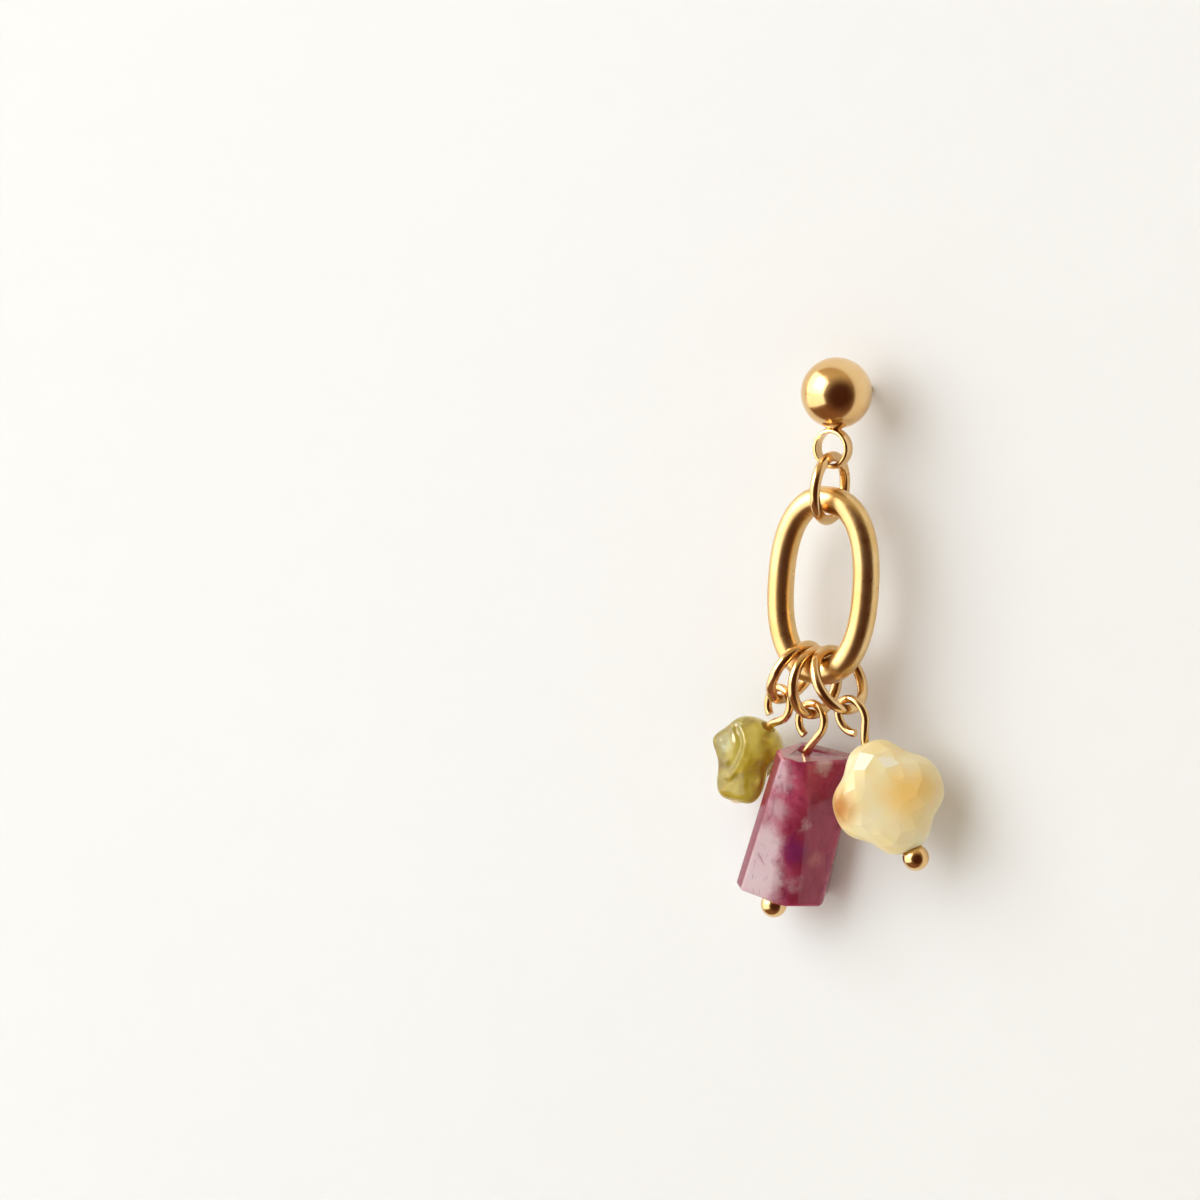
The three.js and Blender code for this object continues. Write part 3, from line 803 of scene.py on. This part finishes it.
# Each kite spans two rows, and the kites of one row sit between those of the row before. They are
# flat near the tables, and worn into the round of the lobes towards the rim.
kites, kite_steps = 10, 8
kite_turn = math.radians(-10)
wear_start, wear_rows = 1.15, 0.75  # rows from the rim where the wear starts, and till it is full
facet_rows = [0.0, 1.0, 1.6, 2.2, 2.8, 3.4, 4.0, 4.6, 5.2, 5.8, 6.4, 7.0, 8.0]
lattice = [
    [(row, 2 * math.pi * (k + 0.5 * (number % 2)) / kites + kite_turn) for k in range(-1, kites + 2)]
    for number, row in enumerate(facet_rows)
]
kite_corners = []
for k in range(1, kites + 1):
    kite_corners.append((lattice[0][k], lattice[1][k], lattice[1][k + 1], lattice[1][k + 1]))
    kite_corners.append((lattice[-1][k], lattice[-2][k], lattice[-2][k + 1], lattice[-2][k + 1]))
    kite_corners.append((lattice[1][k], lattice[2][k + 1], lattice[2][k + 1], lattice[1][k + 1]))
    kite_corners.append((lattice[-2][k], lattice[-3][k + 1], lattice[-3][k + 1], lattice[-2][k + 1]))
    for number in range(1, len(facet_rows) - 3):
        after = k if number % 2 == 0 else k + 1
        between = lattice[number + 1]
        kite_corners.append((
            lattice[number][k], between[after - 1], lattice[number + 2][k], between[after],
        ))
clover = bmesh.new()
for corners in kite_corners:
    flat = [on_clover(row, turn) for row, turn in corners]
    grid = []
    for i in range(kite_steps + 1):
        for j in range(kite_steps + 1):
            u, v = i / kite_steps, j / kite_steps
            shares = ((1 - u) * (1 - v), (1 - u) * v, u * v, u * (1 - v))
            row = sum(share * corner[0] for share, corner in zip(shares, corners))
            turn = sum(share * corner[1] for share, corner in zip(shares, corners))
            place = sum((share * point for share, point in zip(shares, flat)), Vector())
            worn = min(max((wear_start - abs(row - rim_row)) / wear_rows, 0), 1)
            grid.append(clover.verts.new(place.lerp(on_clover(row, turn), worn)))
    step = kite_steps + 1
    for i in range(kite_steps):
        for j in range(kite_steps):
            first = i * step + j
            clover.faces.new((grid[first], grid[first + 1], grid[first + step + 1], grid[first + step]))
bmesh.ops.remove_doubles(clover, verts=clover.verts, dist=1e-7)
bmesh.ops.dissolve_degenerate(clover, edges=clover.edges, dist=1e-8)
clover_bead = make_piece("honey_clover", clover, 5.5)
bore_through(clover_bead, "yellow")
# Two facets at the top of the front carry a painted highlight, paler where they would catch the light
highlit_facets = [(0.33 * mm, -1.63 * mm, 3.46 * mm), (1.92 * mm, -1.34 * mm, 2.24 * mm)]
facet_reach, facet_turn = 1.4 * mm, 0.04  # how far one flat facet reaches, and turns in radians
facet_highlight = clover_bead.data.attributes.new("facet_highlight", "FLOAT", "FACE")
for facet in highlit_facets:
    place = in_bead("yellow", *facet)
    nearest = min(clover_bead.data.polygons, key=lambda face: (face.center - place).length)
    for face in clover_bead.data.polygons:
        near = (face.center - nearest.center).length < facet_reach
        if near and face.normal.angle(nearest.normal) < facet_turn:
            facet_highlight.data[face.index].value = 1.0

yellow_stone, tree, shader = new_material("honey stone")
spot = add_node(tree, "ShaderNodeTexCoord").outputs["Object"]
cloud = noise(tree, spot, 300.0, 5.0, distortion=0.4)
fleck = noise(tree, spot, 2600.0, 4.0)
cream, pale_honey, painted_highlight_cream = (0.95, 0.83, 0.56, 1), (0.94, 0.76, 0.38, 1), (0.98, 0.93, 0.8, 1)
honey = mixed(tree, ranged(tree, cloud, 0.36, 0.66), cream, pale_honey)
for color, *zone_sizes in (  # amber at the right, and its edge, then a painted shadow of the purple column on the left lobe
    ((0.95, 0.6, 0.16, 1), (2.3, -1.4, -0.2), 0.3, 2.2, 1.6, 0.85),
    ((0.95, 0.64, 0.2, 1), (3.6, -0.4, -0.4), 0.2, 1.6, 1.0, 0.6),
    # painted shadow of the purple column, brown on the left lobe
    ((0.55, 0.23, 0.04, 1), (-2.5, -3.0, 0.8), 0.3, 1.7, 0.8),
):
    honey = zoned(tree, honey, color, "yellow", *zone_sizes)
honey = mixed(tree, ranged(tree, fleck, 0.6, 0.75, 0.0, 0.35), honey, (0.95, 0.74, 0.36, 1))
# The painted highlight on the two facets, mixed towards cream
facet_highlight_mask = add_node(tree, "ShaderNodeAttribute", attribute_name="facet_highlight").outputs["Fac"]
honey = mixed(tree, arithmetic(tree, "MULTIPLY", facet_highlight_mask, 0.7), honey, painted_highlight_cream)
tree.links.new(honey, shader.inputs["Base Color"])
shader.inputs["Roughness"].default_value = 0.33
shader.inputs["IOR"].default_value = 1.42
shader.inputs["Subsurface Weight"].default_value = 0.6
shader.inputs["Subsurface Radius"].default_value = (1.0, 0.7, 0.35)
shader.inputs["Subsurface Scale"].default_value = 0.0008
tree.links.new(add_node(tree, "ShaderNodeBump", {
    "Strength": 0.4, "Distance": 0.00001, "Height": fleck,
}).outputs[0], shader.inputs["Normal"])
clover_bead.data.materials.clear()
clover_bead.data.materials.append(yellow_stone)
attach(clover_bead, "drop")
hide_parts("yellow_clover_bead")


# Board and floor
# The earring hangs by its post on an upright board of warm white, and a pale floor lies under it.
# The board shows only its front, so that the back of the earring can be seen past it.
board_place = 2.3 * mm
board_reach = 1.2
floor_height = -0.09


def stage_sheet(name, corners, color):
    """A flat matt sheet that isn't part of the earring."""
    mesh = bpy.data.meshes.new(name)
    mesh.from_pydata(corners, [], [(0, 1, 2, 3)])
    sheet = bpy.data.objects.new(name, mesh)
    scene.collection.objects.link(sheet)
    material, tree, shader = new_material(name)
    spot = add_node(tree, "ShaderNodeTexCoord").outputs["Object"]
    darker = (*[part * 0.985 for part in color[:3]], 1)
    mottled = mixed(tree, noise(tree, spot, 30.0, 4.0), color, darker)
    tree.links.new(mottled, shader.inputs["Base Color"])
    shader.inputs["Roughness"].default_value = 0.9
    shader.inputs["Specular IOR Level"].default_value = 0.1
    mesh.materials.append(material)
    return sheet


board = stage_sheet("upright_board", [
    (-board_reach, board_place, floor_height), (board_reach, board_place, floor_height),
    (board_reach, board_place, board_reach), (-board_reach, board_place, board_reach),
], (0.89, 0.89, 0.885, 1))
tree = board.active_material.node_tree
one_sided = add_node(tree, "ShaderNodeMixShader", {
    0: add_node(tree, "ShaderNodeNewGeometry").outputs["Backfacing"],
    1: tree.nodes["Principled BSDF"].outputs[0],
    2: add_node(tree, "ShaderNodeBsdfTransparent").outputs[0],
})
tree.links.new(one_sided.outputs[0], tree.nodes["Material Output"].inputs["Surface"])
floor = stage_sheet("pale_floor", [
    (-board_reach, -board_reach, floor_height), (board_reach, -board_reach, floor_height),
    (board_reach, board_reach, floor_height), (-board_reach, board_reach, floor_height),
], (0.82, 0.81, 0.79, 1))
floor.visible_glossy = False  # the metal reflects the dim room below it


# Light and camera
# A large window stands to the left in front of the board, the room behind the camera is dim and
# brown, and the camera looks from the right, a little from above, through a long lens.
camera_azimuth, camera_elevation, camera_roll = (math.radians(angle) for angle in (30, 8, 3.6))
camera_distance = 330 * mm
focal_pixels = 4719
ball_pixel = (836.5, 393)  # where the ball's middle is seen, from the top left of the square image
image_size = 1200
backward = Vector((
    math.sin(camera_azimuth) * math.cos(camera_elevation),
    -math.cos(camera_azimuth) * math.cos(camera_elevation), math.sin(camera_elevation),
))
level_right = Vector((math.cos(camera_azimuth), math.sin(camera_azimuth), 0))
level_up = backward.cross(level_right)
image_right = level_right * math.cos(camera_roll) + level_up * math.sin(camera_roll)
image_up = level_up * math.cos(camera_roll) - level_right * math.sin(camera_roll)
off_right = (ball_pixel[0] - image_size / 2) / focal_pixels * camera_distance
off_up = -(ball_pixel[1] - image_size / 2) / focal_pixels * camera_distance
eye = ball_middle - image_right * off_right - image_up * off_up + backward * camera_distance
lens = bpy.data.cameras.new("long_lens")
lens.sensor_width = 36
lens.lens = focal_pixels * lens.sensor_width / image_size
lens.clip_start, lens.clip_end = 0.01, 20
camera = bpy.data.objects.new("camera", lens)
camera.matrix_world = placed(image_right, image_up, backward, eye)
scene.collection.objects.link(camera)
scene.camera = camera


def seen_from_ball(turn, height, distance):
    """The place and facing of a thing at a bearing left of straight ahead and a height, in degrees."""
    turn, height = math.radians(turn), math.radians(height)
    level = math.cos(height)
    way = Vector((-math.sin(turn) * level, -math.cos(turn) * level, math.sin(height)))
    side = Vector((0, 0, 1)).cross(way).normalized()
    return placed(side, way.cross(side), way, ball_middle + way * distance)


def soft_light(name, place, width, height, power, color):
    """An even rectangular light. It lights matt surfaces only; the metal reflects the bright panes."""
    data = bpy.data.lights.new(name, "AREA")
    data.shape, data.size, data.size_y = "RECTANGLE", width, height
    data.energy, data.color = power, color
    light = bpy.data.objects.new(name, data)
    light.matrix_world = place
    light.visible_camera = light.visible_glossy = light.visible_transmission = False
    scene.collection.objects.link(light)


def bright_pane(name, place, width, height, strength):
    """A pane of the window as the polished metal and the stones reflect it."""
    mesh = bpy.data.meshes.new(name)
    corners = [
        place @ Vector((across * width / 2, up * height / 2, 0))
        for across, up in ((-1, -1), (1, -1), (1, 1), (-1, 1))
    ]
    mesh.from_pydata(corners, [], [(0, 1, 2, 3)])
    pane = bpy.data.objects.new(name, mesh)
    scene.collection.objects.link(pane)
    material, tree, shader = new_material(name)
    shader.inputs["Base Color"].default_value = (0, 0, 0, 1)
    shader.inputs["Emission Color"].default_value = (1.0, 0.97, 0.9, 1)
    shader.inputs["Emission Strength"].default_value = strength
    mesh.materials.append(material)
    pane.visible_camera = pane.visible_diffuse = pane.visible_shadow = False


daylight = (0.84, 0.93, 1.0)
soft_light("window_light", seen_from_ball(32, 22, 1.0), 1.2, 1.0, 10.6, daylight)
bright_pane("open_sky", seen_from_ball(40, 26, 1.05), 0.42, 0.5, 16.0)
bright_pane("upper_pane", seen_from_ball(50, 20, 1.1), 1.6, 1.05, 3.0)
bright_pane("lower_pane", seen_from_ball(50, -22, 1.1), 1.6, 0.6, 1.9)

world = bpy.data.worlds.new("room")
scene.world = world
world.use_nodes = True
tree = world.node_tree
tree.nodes.clear()
look = add_node(tree, "ShaderNodeTexCoord").outputs["Generated"]
low_room, high_room, darkest = (0.26, 0.13, 0.07, 1), (0.62, 0.47, 0.27, 1), (0.07, 0.022, 0.012, 1)
pale_wall = (0.86, 0.85, 0.83, 1)  # what the camera sees past the board and the floor
darkest_way = (backward + level_right * 0.2 - level_up * 0.17).normalized()
towards = add_node(tree, "ShaderNodeVectorMath", {
    0: look, 1: tuple(darkest_way),
}, operation="DOT_PRODUCT").outputs["Value"]
upwards = add_node(tree, "ShaderNodeSeparateXYZ", {0: look}).outputs["Z"]
room = mixed(tree, ranged(tree, upwards, -0.7, 0.8), low_room, high_room)
room = mixed(tree, ranged(tree, towards, 0.42, 0.84), room, darkest)
shown = add_node(tree, "ShaderNodeLightPath").outputs["Is Camera Ray"]
background = add_node(tree, "ShaderNodeBackground", {
    "Color": mixed(tree, shown, room, pale_wall), "Strength": 1.0,
})
tree.links.new(background.outputs[0], add_node(tree, "ShaderNodeOutputWorld").inputs["Surface"])

scene.view_settings.view_transform = "Standard"
scene.view_settings.look = "None"
